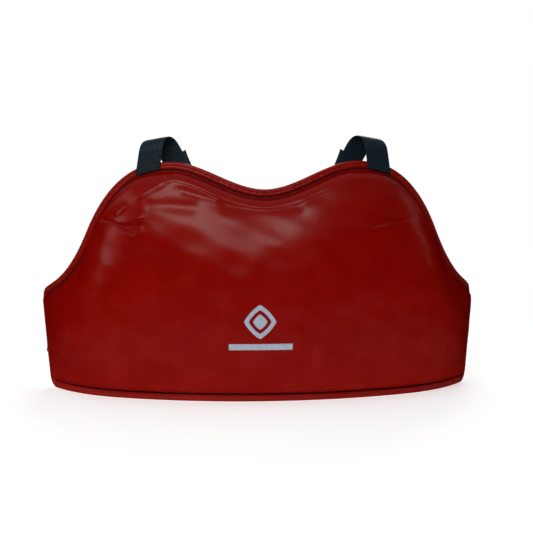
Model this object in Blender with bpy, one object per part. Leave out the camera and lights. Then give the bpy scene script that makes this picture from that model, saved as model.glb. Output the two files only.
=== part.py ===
"""Trainer's belly pad: a curved foam body shield with a two-strap back harness.

Metres, +Z up.  The origin is under the middle of the bottom binding.  The wearer stands on
the +Y side, inside the curve, and the struck face looks along -Y.  Right means +X.

The pad is laid out as a flat pattern.  s runs along the pad from its middle, z runs up, and
depth runs out of the seam plane towards the front.  bend() wraps that pattern round the
wearer.  The pad divides at two upright flex lines, where its foam bends and the wings swing.
"""

import math

import bmesh
import bpy
from mathutils import Matrix, Vector

# Plan curve of the seam plane.
FRONT_RADIUS = 0.645
FRONT_ANGLE = math.radians(22)
SIDE_RADIUS = 0.200
SIDE_ANGLE = math.radians(55)

# Outline of the flat pattern.
HEIGHT = 0.388
NECK_DROP = 0.043
ARMHOLE_DROP = 0.118
ARMHOLE_SLOPE = -2.0
SIDE_HEIGHT = 0.155
SIDE_SLOPE = -0.55
SIDE_SLANT = 0.042
CORNER_RADIUS = 0.018
ARMHOLE_PAST_FLEX = 0.051
STRAP_TO_FLEX = 0.043
HUMP_TO_STRAP = 0.038

# Layers of the pad.
COVER_T = 0.0012
LINER_T = 0.0015
BINDING_T = 0.0010
BINDING_WIDTH = 0.0115
BINDING_ROUND = 0.0012
PANEL_INSET = 0.0142
RISE_WIDTH = 0.0140
RISE_HEIGHT = 0.0240
CROWN_HEIGHT = 0.0300
SIDE_THINNING = 0.36
INNER_FOAM_T = 0.0100
GAP = 0.0003
PLY_GAP = 0.0005
FOAM_GAP = 0.0010
FLANGE_GAP = 0.0017

# Flex lines.
FLEX_GAP = 0.0030
FLEX_NOTCH = math.radians(11)

# Printed mark.
MARK_T = 0.0005
MARK_GAP = 0.0008
MARK_HALF_WIDTH = 0.029
MARK_LOW = 0.086
MARK_HIGH = 0.168

# Webbing and the fold of the shoulder straps.
WEBBING_WIDTH = 0.038
WEBBING_T = 0.0022
STRAP_LEAN = math.radians(9)
FOLD_TILT = math.radians(11)
FOLD_HEIGHT = 0.021
FOLD_RADIUS = 0.016
STRAP_LENGTH = 0.165
TAIL_SHORTER = 0.012
TAIL_DRIFT = 0.005
TAIL_DRIFT_FROM = 0.058
TAIL_MERGE = 0.022
HEM_GAP = 0.0006

# Buckles.
BAR_HALF = 0.0018
BAR_TURN_GAP = 0.0004
FRAME_T = 0.0060
FRAME_SIDE = 0.0045
SLOT_SIDE_GAP = 0.0008
SLOT_LENGTH = 0.0070
CROSS_BAR = 0.0090
PLUG_REACH = 0.0460
PRONG_T = 0.0045
PRONG_ROOT = 0.0060
PRONG_GAP = 0.0005
PRONG_LENGTH = 0.0280
PRONG_TIP = 0.0040
BARB_OUT = 0.0015
BARB_FOOT = 0.0130
BARB_LOW = 0.0160
BARB_HIGH = 0.0200
TONGUE_WIDTH = 0.0110
SOCKET_WALL = 0.0024
SOCKET_GAP = 0.0010
SOCKET_LENGTH = 0.0440
SOCKET_HOLLOW = 0.0083
WINDOW_LOW = 0.0240
WINDOW_HIGH = 0.0370
BUCKLE_BEVEL = 0.0009

# Keeper and side tab.
KEEPER_WALL = 0.0020
KEEPER_LENGTH = 0.0100
KEEPER_HEIGHT = 0.0480
TAB_SEWN = 0.036
TAB_REACH = 0.020
TAB_TURN_RADIUS = 0.030
TAB_HEIGHT = 0.075

# Mesh steps.
RISE_STEPS = (0, 40, 65, 90)
CENTER_COLUMNS = 16
WING_COLUMNS = 11
ROWS = 6
FLAT_ROWS = 5
CORNER_STEPS = 4
FOLD_STEPS = 12
TURN_STEPS = 8
CENTER_TOP_STEPS = 24
CENTER_BOTTOM_STEPS = 14
WING_TOP_STEPS = 9
WING_SIDE_STEPS = 4
WING_BOTTOM_STEPS = 7
MARK_STEPS = 4
TAB_STEPS = 4

# Lengths and places that follow from the values above.
FLEX_S = FRONT_RADIUS * FRONT_ANGLE
END_S = FLEX_S + SIDE_RADIUS * SIDE_ANGLE
STRAP_S = FLEX_S - STRAP_TO_FLEX - WEBBING_WIDTH / 2
HUMP_S = STRAP_S - HUMP_TO_STRAP
BINDING_FRONT = COVER_T + PLY_GAP + BINDING_T
BINDING_BACK = LINER_T + 2 * PLY_GAP + BINDING_T
FLANGE_INSET = BINDING_T + PLY_GAP + FLANGE_GAP
PANEL_TOP_INSET = PANEL_INSET + RISE_WIDTH
LAYER_PITCH = WEBBING_T + GAP
TURN_RADIUS = BAR_HALF * math.sqrt(2) + BAR_TURN_GAP + WEBBING_T / 2
STRAP_DEPTH = BINDING_FRONT + GAP + WEBBING_T / 2
BUCKLE_HALF = WEBBING_WIDTH / 2 + SLOT_SIDE_GAP + FRAME_SIDE
SLOT_HALF = WEBBING_WIDTH / 2 + SLOT_SIDE_GAP
SLOT_END = BAR_HALF + SLOT_LENGTH
CROSS_END = SLOT_END + CROSS_BAR

COLOURS = {
    "red_vinyl": ((0.196, 0.003, 0.001), 0.30, 0.0),
    "black_liner": ((0.010, 0.011, 0.013), 0.75, 0.0),
    "outer_foam": ((0.060, 0.062, 0.066), 0.90, 0.0),
    "inner_foam": ((0.580, 0.570, 0.540), 0.90, 0.0),
    "mark_film": ((0.400, 0.470, 0.600), 0.45, 0.0),
    "navy_webbing": ((0.008, 0.016, 0.024), 0.80, 0.0),
    "black_plastic": ((0.012, 0.012, 0.013), 0.40, 0.0),
}


# Pattern ------------------------------------------------------------------------------------


def plan(s, depth):
    """The plan place of a pattern point, and the outward direction there."""
    side = -1 if s < 0 else 1
    turn = min(abs(s) / FRONT_RADIUS, FRONT_ANGLE)
    turn += max(abs(s) - FLEX_S, 0) / SIDE_RADIUS
    centre = Vector((0, FRONT_RADIUS))
    radius = FRONT_RADIUS
    if abs(s) > FLEX_S:
        step = FRONT_RADIUS - SIDE_RADIUS
        centre += step * Vector((math.sin(FRONT_ANGLE), -math.cos(FRONT_ANGLE)))
        radius = SIDE_RADIUS
    outward = Vector((math.sin(turn), -math.cos(turn)))
    point = centre + (radius + depth) * outward
    return Vector((side * point.x, point.y)), Vector((side * outward.x, outward.y))


def bend(s, z, depth):
    """The place of a point of the finished pattern once it is bent round the wearer."""
    point, _ = plan(s, depth)
    return Vector((point.x, point.y, z))


def top_edge(s):
    """Height of the top edge: neck scoop, hump, armhole and the slope to the side."""
    knots = (
        (0, HEIGHT - NECK_DROP, 0),
        (HUMP_S, HEIGHT, 0),
        (FLEX_S + ARMHOLE_PAST_FLEX, HEIGHT - ARMHOLE_DROP, ARMHOLE_SLOPE),
        (END_S, SIDE_HEIGHT, SIDE_SLOPE),
    )
    s = min(abs(s), END_S)
    for (s0, z0, m0), (s1, z1, m1) in zip(knots, knots[1:]):
        if s <= s1:
            break
    span = s1 - s0
    t = (s - s0) / span
    keep = (2 * t - 3) * t * t + 1
    return (
        keep * z0
        + (1 - keep) * z1
        + span * m0 * t * (1 - t) ** 2
        - span * m1 * t * t * (1 - t)
    )


def top_slope(s):
    """Slope of the top edge, rise over run along +s."""
    step = 0.0005
    return (top_edge(s + step) - top_edge(s - step)) / (2 * step)


def round_corners(s, z):
    """Turns the two square corners of a wing's side edge into round ones."""
    inner = END_S - CORNER_RADIUS
    u = (s - inner) / CORNER_RADIUS
    low = 1 - z / CORNER_RADIUS
    tall = CORNER_RADIUS * math.hypot(1, SIDE_SLOPE)
    high = 1 - (top_edge(s) - z) / tall
    if u > 0 and low > 0:
        u, low = round_ring(u, low)
        return inner + CORNER_RADIUS * u, CORNER_RADIUS * (1 - low)
    if u > 0 and high > 0:
        u, high = round_ring(u, high)
        s = inner + CORNER_RADIUS * u
        return s, top_edge(s) - tall * (1 - high)
    return s, z


def round_ring(u, v):
    """A point of a square ring moved onto the round ring of the same reach."""
    scale = max(u, v) / math.hypot(u, v)
    return u * scale, v * scale


def finished(s, z):
    """A square-cornered wing point moved to the finished pattern, corners and slant."""
    s, z = round_corners(s, z)
    share = (s - FLEX_S) / (END_S - PANEL_TOP_INSET - FLEX_S)
    share = min(max(share, 0), 1)
    return s - SIDE_SLANT * share * max(1 - z / SIDE_HEIGHT, 0), z


def thickness(s):
    """Share of the panel's full thickness, which thins from the flex line to the side."""
    t = min(max(abs(s) - FLEX_S, 0) / (END_S - PANEL_TOP_INSET - FLEX_S), 1)
    return 1 - (1 - SIDE_THINNING) * t * t * (3 - 2 * t)


def crown(s, v):
    """Extra thickness of the stuffed panel, from 0 at its edge to 1 at its middle."""
    along = 1 - min(abs(s) / (END_S - PANEL_TOP_INSET), 1) ** 2.6
    return along * (1 - abs(2 * v**0.9 - 1) ** 2.4)


# Mesh helpers -------------------------------------------------------------------------------


def material(name):
    colour, roughness, metallic = COLOURS[name]
    made = bpy.data.materials.get(name) or bpy.data.materials.new(name)
    made.use_nodes = True
    made.diffuse_color = (*colour, 1)
    shader = made.node_tree.nodes["Principled BSDF"]
    shader.inputs["Base Color"].default_value = (*colour, 1)
    shader.inputs["Roughness"].default_value = roughness
    shader.inputs["Metallic"].default_value = metallic
    return made


def solid(name, points, faces, finish, parent=None):
    """One named object from world points; a moving piece's origin is its pivot empty."""
    mesh = bpy.data.meshes.new(name)
    shift = parent.matrix_world.inverted() if parent else Matrix()
    mesh.from_pydata([shift @ Vector(p) for p in points], [], faces)
    shell = bmesh.new()
    shell.from_mesh(mesh)
    bmesh.ops.recalc_face_normals(shell, faces=shell.faces)
    shell.to_mesh(mesh)
    shell.free()
    mesh.shade_smooth()
    mesh.set_sharp_from_angle(angle=math.radians(35))
    mesh.materials.append(material(finish))
    made = bpy.data.objects.new(name, mesh)
    made.parent = parent
    bpy.context.scene.collection.objects.link(made)
    return made


def pivot(name, place, turn=None):
    """An empty at a joint, on whose axis the moving pieces hang."""
    empty = bpy.data.objects.new(name, None)
    empty.empty_display_size = 0.02
    empty.matrix_world = Matrix.Translation(place) @ (turn or Matrix()).to_4x4()
    bpy.context.scene.collection.objects.link(empty)
    bpy.context.view_layer.update()
    return empty


def grid_solid(name, upper, lower, finish, parent=None):
    """A closed solid between two grids of the same size, lists of columns of points."""
    columns, rows = len(upper), len(upper[0])
    points = [p for grid in (upper, lower) for column in grid for p in column]
    under = columns * rows
    faces = []
    for i in range(columns - 1):
        for j in range(rows - 1):
            a, b = i * rows + j, (i + 1) * rows + j
            faces += [(a, b, b + 1, a + 1), (under + a, under + a + 1, under + b + 1, under + b)]
    rim = [i * rows for i in range(columns)]
    rim += [(columns - 1) * rows + j for j in range(1, rows)]
    rim += [i * rows + rows - 1 for i in range(columns - 2, -1, -1)]
    rim += list(range(rows - 2, 0, -1))
    for a, b in zip(rim, rim[1:] + rim[:1]):
        faces.append((b, a, under + a, under + b))
    return solid(name, points, faces, finish, parent)


def swept_solid(name, stations, finish, parent=None):
    """A closed solid through stations, each the same number of points round a section."""
    count = len(stations[0])
    points = [p for station in stations for p in station]
    faces = [tuple(range(count)), tuple(len(points) - 1 - k for k in range(count))]
    for i in range(len(stations) - 1):
        for k in range(count):
            a, b = i * count + k, i * count + (k + 1) % count
            faces.append((a, b, b + count, a + count))
    return solid(name, points, faces, finish, parent)


def strip_solid(name, stations, finish, parent=None):
    """Webbing through stations of left point, right point and thickness direction."""
    half = WEBBING_T / 2
    sections = [
        (left + half * up, right + half * up, right - half * up, left - half * up)
        for left, right, up in stations
    ]
    return swept_solid(name, sections, finish, parent)


# Pad layers ---------------------------------------------------------------------------------


def flex_cut(depth, side):
    """Where a layer ends at the flex line; side is -1 towards the centre, 1 for a wing."""
    return FLEX_S + side * (FLEX_GAP / 2 + max(depth, 0) * math.tan(FLEX_NOTCH))


def spread(low, high, cells):
    return [low + (high - low) * k / cells for k in range(cells + 1)]


def layer(levels, crown_height, wing, rows):
    """A grid of one face of a layer.

    levels lists (inset from the outline, fixed depth, depth that thins towards the side)
    from the outside in.  The last level bounds the crowned part.  A wing's columns run from
    the flex line to its side edge, the centre's from flex line to flex line.
    """
    edge = levels[-1][0]
    last = len(levels) - 1
    if wing:
        columns = [(s, last) for s in spread(FLEX_S, END_S - edge, WING_COLUMNS)]
        columns += [(END_S - levels[k][0], k) for k in range(last - 1, -1, -1)]
    else:
        columns = [(s, last) for s in spread(-FLEX_S, FLEX_S, CENTER_COLUMNS)]
    grid = []
    for i, (s, side_level) in enumerate(columns):
        steep = math.hypot(1, top_slope(s))
        top = top_edge(s)
        heights = [(levels[k][0], k) for k in range(last)]
        heights += [(z, last) for z in spread(edge, top - edge * steep, rows)]
        heights += [(top - levels[k][0] * steep, k) for k in range(last - 1, -1, -1)]
        column = []
        for z, level in heights:
            _, fixed, thinning = levels[min(level, side_level)]
            depth = fixed + thinning * thickness(s)
            if min(level, side_level) == last:
                depth += crown_height * crown(s, (z - edge) / (top - edge * steep - edge))
            if wing:
                at = flex_cut(depth, 1) if i == 0 else s
                column.append(bend(*finished(at, z), depth))
            else:
                at = math.copysign(flex_cut(depth, -1), s) if i in (0, len(columns) - 1) else s
                column.append(bend(at, z, depth))
        grid.append(column)
    return grid


def rise_levels(skin, sideways, down):
    """Levels up the panel's rounded edge, skin metres inside it and eased by two gaps."""
    levels = []
    for step in RISE_STEPS:
        angle = math.radians(step)
        inset = PANEL_INSET + skin + (RISE_WIDTH - skin) * (1 - math.cos(angle))
        ease = sideways if step < 90 else 0
        levels.append((inset + ease, COVER_T - skin - down, RISE_HEIGHT * math.sin(angle)))
    return levels


def mirrored(grid, side):
    return [[Vector((side * p.x, p.y, p.z)) for p in column] for column in grid]


def pad_layer(name, upper, lower, finish, wing_side=None, parent=None):
    """One layer of the centre or of a wing, from (levels, crown height) for each face."""
    wing = wing_side is not None
    rows = ROWS if len(upper[0]) > 1 else FLAT_ROWS if wing else 1
    top = layer(*upper, wing, rows)
    base = layer(*lower, wing, rows)
    if wing:
        top, base = mirrored(top, wing_side), mirrored(base, wing_side)
    return grid_solid(name, top, base, finish, parent)


def pad_layers(prefix, wing_side=None, parent=None):
    """Front cover, two foams and rear liner of the centre or of one wing."""
    where = dict(wing_side=wing_side, parent=parent)
    outside = [(FLANGE_INSET, COVER_T, 0)] + rise_levels(0, 0, 0)
    inside = [(FLANGE_INSET, 0, 0)] + rise_levels(COVER_T, 0, 0)
    pad_layer(
        f"{prefix}_front_cover",
        (outside, CROWN_HEIGHT),
        (inside, CROWN_HEIGHT),
        "red_vinyl",
        **where,
    )
    foam = rise_levels(COVER_T, FOAM_GAP, FOAM_GAP)[1:]
    floor = [(level[0], PLY_GAP, INNER_FOAM_T) for level in foam]
    pad_layer(f"{prefix}_outer_foam", (foam, CROWN_HEIGHT), (floor, 0), "outer_foam", **where)
    inset = foam[0][0]
    slab = ([(inset, 0, INNER_FOAM_T)], 0), ([(inset, PLY_GAP, 0)], 0)
    pad_layer(f"{prefix}_inner_foam", *slab, "inner_foam", **where)
    sheet = ([(FLANGE_INSET, -PLY_GAP, 0)], 0), ([(FLANGE_INSET, -PLY_GAP - LINER_T, 0)], 0)
    pad_layer(f"{prefix}_rear_liner", *sheet, "black_liner", **where)


# Edge binding -------------------------------------------------------------------------------


def binding_section():
    """The folded tape's section: (inset from the outline, depth) round a U."""
    front, back, wide, soft = BINDING_FRONT, -BINDING_BACK, BINDING_WIDTH, BINDING_ROUND
    return (
        (wide, front),
        (soft, front),
        (0, front - soft),
        (0, back + soft),
        (soft, back),
        (wide, back),
        (wide, back + BINDING_T),
        (BINDING_T, back + BINDING_T),
        (BINDING_T, front - BINDING_T),
        (wide, front - BINDING_T),
    )


def binding(name, outline, side=1, parent=None):
    """Tape folded over the pad's edge along an outline, cut upright at its two ends."""
    stations = []
    for k, (s, z) in enumerate(outline):
        s0, z0 = outline[max(k - 1, 0)]
        s1, z1 = outline[min(k + 1, len(outline) - 1)]
        run = math.hypot(s1 - s0, z1 - z0)
        inward = ((z1 - z0) / run, -(s1 - s0) / run)
        if k in (0, len(outline) - 1):
            inward = (0, -run / (s1 - s0))
        station = []
        for inset, depth in binding_section():
            p = bend(s + inward[0] * inset, z + inward[1] * inset, depth)
            station.append(Vector((side * p.x, p.y, p.z)))
        stations.append(station)
    swept_solid(name, stations, "red_vinyl", parent)


def wing_outline():
    """The wing's free edge: along its top, round the side and back along the bottom."""
    start = FLEX_S + FLEX_GAP / 2
    inner = END_S - CORNER_RADIUS
    fractions = [k / CORNER_STEPS for k in range(1, CORNER_STEPS + 1)]
    square = [(s, top_edge(s)) for s in spread(start, inner, WING_TOP_STEPS)]
    square += [(inner + CORNER_RADIUS * u, None) for u in fractions]
    path = [(s, top_edge(s) if z is None else z) for s, z in square]
    side_top = top_edge(END_S)
    drop = CORNER_RADIUS * math.hypot(1, SIDE_SLOPE)
    path += [(END_S, side_top - drop * u) for u in fractions]
    path += [(END_S, z) for z in spread(side_top - drop, CORNER_RADIUS, WING_SIDE_STEPS)[1:]]
    path += [(END_S, CORNER_RADIUS * (1 - u)) for u in fractions]
    path += [(inner + CORNER_RADIUS * (1 - u), 0) for u in fractions]
    path += [(s, 0) for s in spread(inner, start, WING_BOTTOM_STEPS)[1:]]
    return [finished(s, z) for s, z in path]


def center_bindings():
    reach = FLEX_S - FLEX_GAP / 2
    top = [(s, top_edge(s)) for s in spread(-reach, reach, CENTER_TOP_STEPS)]
    bottom = [(s, 0) for s in spread(reach, -reach, CENTER_BOTTOM_STEPS)]
    binding("center_top_binding", top)
    binding("center_bottom_binding", bottom)


# Printed mark -------------------------------------------------------------------------------


def front_depth(s, z):
    """Depth of the front cover's face over the crowned part of the centre."""
    high = top_edge(s) - PANEL_TOP_INSET * math.hypot(1, top_slope(s))
    v = (z - PANEL_TOP_INSET) / (high - PANEL_TOP_INSET)
    return COVER_T + RISE_HEIGHT + CROWN_HEIGHT * crown(s, v)


def mark():
    """The film that carries the printed mark, low on the middle of the struck face."""
    across = spread(-MARK_HALF_WIDTH, MARK_HALF_WIDTH, MARK_STEPS)
    upright = spread(MARK_LOW, MARK_HIGH, MARK_STEPS)
    faces = [
        [[bend(s, z, front_depth(s, z) + lift) for z in upright] for s in across]
        for lift in (MARK_GAP + MARK_T, MARK_GAP)
    ]
    grid_solid("front_mark", *faces, "mark_film")


# Shoulder straps ----------------------------------------------------------------------------


class StrapFrame:
    """Directions and places on one shoulder strap, folded over the top of the pad."""

    def __init__(self, side):
        point, outward = plan(side * STRAP_S, 0)
        self.side = side
        self.out = Vector((outward.x, outward.y, 0))
        self.inward = Vector((side * outward.y, -side * outward.x, 0))
        self.base = Vector((point.x, point.y, top_edge(STRAP_S)))
        self.ruling = self.tilted(FOLD_TILT)
        self.across_fold = self.tilted(FOLD_TILT + math.pi / 2)
        self.skew = STRAP_LEAN + FOLD_TILT
        self.seam = self.tilted(math.atan(-top_slope(STRAP_S)))
        self.leg_start = self.flat_length(FOLD_HEIGHT + math.pi * FOLD_RADIUS, WEBBING_WIDTH / 2)
        self.down = self.leg_direction()
        self.wide = self.down.cross(self.out) * side

    def tilted(self, angle):
        """A direction in the strap's plane, tilted from towards-the-centre to up."""
        return self.inward * math.cos(angle) + Vector((0, 0, math.sin(angle)))

    def leg_direction(self):
        return self.ruling * math.sin(self.skew) - self.across_fold * math.cos(self.skew)

    def flat_length(self, climb, across):
        """Length along the strap to where a line across it has climbed so far."""
        return (climb + across * math.sin(self.skew)) / math.cos(self.skew)

    def fold(self, length, across):
        """Place and thickness direction of a flat strap point, once folded over."""
        along = length * math.sin(self.skew) + across * math.cos(self.skew)
        climb = length * math.cos(self.skew) - across * math.sin(self.skew)
        turned = (climb - FOLD_HEIGHT) / FOLD_RADIUS
        level, back, up = climb, 0, self.out
        if turned > math.pi:
            level = FOLD_HEIGHT - (climb - FOLD_HEIGHT - math.pi * FOLD_RADIUS)
            back, up = 2 * FOLD_RADIUS, -self.out
        elif turned > 0:
            level = FOLD_HEIGHT + FOLD_RADIUS * math.sin(turned)
            back = FOLD_RADIUS * (1 - math.cos(turned))
            up = self.out * math.cos(turned) + self.across_fold * math.sin(turned)
        place = self.base + self.ruling * along + self.across_fold * level
        return place + self.out * (STRAP_DEPTH - back), up

    def line(self, length_of):
        """A station whose two ends lie at the length that length_of gives for each edge."""
        ends = [self.fold(length_of(w), w) for w in (-WEBBING_WIDTH / 2, WEBBING_WIDTH / 2)]
        return ends[0][0], ends[1][0], ends[0][1]

    def seam_line(self, lift):
        """A station parallel to the pad's top edge, lifted from it."""
        slope = self.seam.z / self.seam.dot(self.inward)
        lean = math.tan(STRAP_LEAN)

        def length(across):
            run, drop = across * math.cos(STRAP_LEAN), across * math.sin(STRAP_LEAN)
            rise = (lift + slope * run + drop) / (1 - slope * lean)
            return rise / math.cos(STRAP_LEAN)

        return self.line(length)

    def leg(self, distance, back=0.0, drift=0.0):
        """The middle of the strap on its rear leg, so far down from where the leg starts."""
        place, _ = self.fold(self.leg_start + distance, 0)
        return place - self.out * back + self.wide * drift

    def bar(self):
        """Centre of the buckle bar that the strap turns round."""
        return self.leg(STRAP_LENGTH, TURN_RADIUS)


def strap_stations(frame):
    """The free strap: front leg, fold, rear leg, turn round the bar and tail."""
    stations = [frame.seam_line(HEM_GAP)]
    for turn in spread(0, math.pi, FOLD_STEPS):
        climb = FOLD_HEIGHT + FOLD_RADIUS * turn
        stations.append(frame.line(lambda across: frame.flat_length(climb, across)))
    half = frame.wide * (WEBBING_WIDTH / 2)
    for distance in (0.002, STRAP_LENGTH / 2, STRAP_LENGTH):
        middle = frame.leg(distance)
        stations.append((middle - half, middle + half, -frame.out))
    for turn in spread(0, math.pi, TURN_STEPS)[1:]:
        middle = frame.bar() + TURN_RADIUS * (
            frame.down * math.sin(turn) + frame.out * math.cos(turn)
        )
        up = -frame.out * math.cos(turn) - frame.down * math.sin(turn)
        stations.append((middle - half, middle + half, up))
    for distance in spread(STRAP_LENGTH - TAIL_MERGE / 4, STRAP_LENGTH - TAIL_MERGE, 3):
        share = (STRAP_LENGTH - distance) / TAIL_MERGE
        ease = share * share * (3 - 2 * share)
        back = 2 * TURN_RADIUS + (LAYER_PITCH - 2 * TURN_RADIUS) * ease
        middle = frame.leg(distance, back)
        stations.append((middle - half, middle + half, frame.out))
    for distance in spread(TAIL_DRIFT_FROM, TAIL_SHORTER, 4):
        share = (TAIL_DRIFT_FROM - distance) / (TAIL_DRIFT_FROM - TAIL_SHORTER)
        drift = TAIL_DRIFT * share * share
        middle = frame.leg(distance, LAYER_PITCH, drift)
        stations.append((middle - half, middle + half, frame.out))
    return stations


def strap_root(name, frame):
    """The sewn end of the strap, flat on the front of the binding."""
    low = frame.seam_line(-BINDING_WIDTH / math.cos(math.atan(top_slope(STRAP_S))) - GAP)
    high = frame.seam_line(-GAP)
    strip_solid(name, [low, high], "navy_webbing")


# Buckles ------------------------------------------------------------------------------------


def block(name, low, high, frame, side_shape=None):
    """A plain box, or an upright prism on an outline, in the buckle's own axes."""
    outline = side_shape or (
        (low[0], low[1]),
        (high[0], low[1]),
        (high[0], high[1]),
        (low[0], high[1]),
    )
    stations = [
        [frame.matrix_world @ Vector((x, y, z)) for x, y in outline] for z in (low[2], high[2])
    ]
    return swept_solid(name, stations, "black_plastic", frame)


def cut(target, cutter):
    """Cuts one solid from another, and keeps the cutter out of sight."""
    cutter.hide_render = True
    cutter.display_type = "WIRE"
    step = target.modifiers.new(cutter.name, "BOOLEAN")
    step.operation = "DIFFERENCE"
    step.solver = "EXACT"
    step.object = cutter


def soften(target):
    step = target.modifiers.new("soft_edges", "BEVEL")
    step.width = BUCKLE_BEVEL
    step.segments = 1
    step.limit_method = "ANGLE"
    step.angle_limit = math.radians(50)


def cut_bar(name, target, frame):
    """Slot for the webbing, with reliefs that leave a slim square bar at its end."""
    reach, bar = 2 * BUCKLE_HALF, BAR_HALF
    around_bar = ((-reach, bar), (bar, bar), (bar, -bar), (-reach, -bar))
    beyond = ((-reach, -reach), (SLOT_END, -reach), (SLOT_END, reach), (-reach, reach))
    stations = [
        [frame.matrix_world @ Vector((x, y, z)) for y, z in around_bar + beyond]
        for x in (-SLOT_HALF, SLOT_HALF)
    ]
    cut(target, swept_solid(f"{name}_slot_cutter", stations, "black_plastic", frame))


def plug(name, frame):
    """Plug half: bar, slot, cross bar and centre tongue in one moulding."""
    wide, tip = BUCKLE_HALF, PLUG_REACH
    half = TONGUE_WIDTH / 2
    outline = (
        (-wide, -BAR_HALF),
        (wide, -BAR_HALF),
        (wide, CROSS_END),
        (half, CROSS_END),
        (half * 0.8, tip - half),
        (0, tip - half / 2),
        (-half * 0.8, tip - half),
        (-half, CROSS_END),
        (-wide, CROSS_END),
    )
    low, high = (0, 0, -FRAME_T / 2), (0, 0, FRAME_T / 2)
    made = block(name, low, high, frame, outline)
    cut_bar(name, made, frame)
    soften(made)


def prong(name, side, plug_frame):
    """One springy prong of the plug, with its barb, turning about its root."""
    root = prong_root(side)
    hinge = pivot(f"{name}_pivot", plug_frame.matrix_world @ root, plug_frame.matrix_world.to_3x3())
    outer = BUCKLE_HALF - FRAME_SIDE / 2
    inner = outer - PRONG_ROOT
    outline = (
        (inner, 0),
        (outer - PRONG_GAP, 0),
        (outer - 2 * PRONG_GAP, BARB_FOOT),
        (outer + BARB_OUT, BARB_LOW),
        (outer + BARB_OUT, BARB_HIGH),
        (outer - PRONG_TIP, PRONG_LENGTH),
        (inner - BARB_OUT, PRONG_LENGTH),
        (inner - 2 * PRONG_GAP, BARB_HIGH),
    )
    if side < 0:
        outline = tuple((-x, y) for x, y in reversed(outline))
    start = CROSS_END + PRONG_GAP
    local = tuple((x - root.x, y + start - root.y) for x, y in outline)
    made = block(name, (0, 0, -PRONG_T / 2), (0, 0, PRONG_T / 2), hinge, local)
    soften(made)


def prong_root(side):
    """Where a prong springs from, in the plug's own axes."""
    return Vector((side * (BUCKLE_HALF - FRAME_SIDE / 2 - PRONG_ROOT / 2), CROSS_END, 0))


def socket(name, frame):
    """Socket half: webbing bar, open mouth and a window each side for the barbs."""
    wide = BUCKLE_HALF + SOCKET_WALL / 2
    inside = BUCKLE_HALF - FRAME_SIDE / 2 + BARB_OUT - SOCKET_GAP
    hollow = SOCKET_HOLLOW / 2
    thick = hollow + SOCKET_WALL
    made = block(name, (-wide, -BAR_HALF, -thick), (wide, SOCKET_LENGTH, thick), frame)
    cut_bar(name, made, frame)
    mouth = ((-inside, SLOT_END + FRAME_SIDE, -hollow), (inside, 2 * SOCKET_LENGTH, hollow))
    cut(made, block(f"{name}_mouth_cutter", *mouth, frame))
    high = hollow - SOCKET_GAP
    window = ((-2 * wide, WINDOW_LOW, -high), (2 * wide, WINDOW_HIGH, high))
    cut(made, block(f"{name}_window_cutter", *window, frame))
    soften(made)


def keeper(name, strap):
    """Sliding loop that holds the strap's tail to its rear leg."""
    place = strap.leg(STRAP_LENGTH - KEEPER_HEIGHT, LAYER_PITCH / 2)
    turn = Matrix((strap.wide, strap.down, strap.wide.cross(strap.down))).transposed()
    frame = pivot(f"{name}_pivot", place, turn)
    half_wide = WEBBING_WIDTH / 2 + SLOT_SIDE_GAP
    half_deep = (LAYER_PITCH + WEBBING_T) / 2 + GAP
    low = (-half_wide - KEEPER_WALL, -KEEPER_LENGTH / 2, -half_deep - KEEPER_WALL)
    made = block(name, low, tuple(-v for v in low), frame)
    hole = (-half_wide, -KEEPER_LENGTH, -half_deep)
    cut(made, block(f"{name}_cutter", hole, tuple(-v for v in hole), frame))
    soften(made)


def harness(label, side):
    """One shoulder strap with its sewn root, keeper, plug and prongs."""
    strap = StrapFrame(side)
    strap_root(f"{label}_strap_root", strap)
    low = strap.seam_line(HEM_GAP)
    hinge = pivot(f"{label}_strap_pivot", (low[0] + low[1]) / 2)
    strip_solid(f"{label}_shoulder_strap", strap_stations(strap), "navy_webbing", hinge)
    keeper(f"{label}_keeper", strap)
    turn = Matrix((strap.wide, strap.down, strap.wide.cross(strap.down))).transposed()
    bar = pivot(f"{label}_plug_pivot", strap.bar(), turn)
    plug(f"{label}_plug", bar)
    for place, prong_side in (("inner", 1), ("outer", -1)):
        prong(f"{label}_{place}_prong", prong_side, bar)


# Wings --------------------------------------------------------------------------------------


def tab_path(side):
    """The tab's middle line in plan, sewn behind the wing's side edge, then straight back."""
    edge = finished(END_S, TAB_HEIGHT)[0]
    depth = -BINDING_BACK - GAP - LAYER_PITCH / 2 - WEBBING_T / 2
    line = []
    for s in spread(edge - TAB_SEWN, edge, TAB_STEPS):
        point, outward = plan(s, depth)
        line.append((point, Vector((-outward.y, outward.x))))
    heading = math.atan2(line[-1][1].y, line[-1][1].x)
    turns = spread(heading, math.pi / 2, 3)
    for before, after in zip(turns, turns[1:]):
        middle = (before + after) / 2
        step = TAB_TURN_RADIUS * abs(after - before)
        point = line[-1][0] + step * Vector((math.cos(middle), math.sin(middle)))
        line.append((point, Vector((math.cos(after), math.sin(after)))))
    for _ in range(TAB_STEPS):
        line.append((line[-1][0] + Vector((0, TAB_REACH / TAB_STEPS)), Vector((0, 1))))
    return [(Vector((side * p.x, p.y, 0)), Vector((side * d.x, d.y, 0))) for p, d in line]


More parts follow.
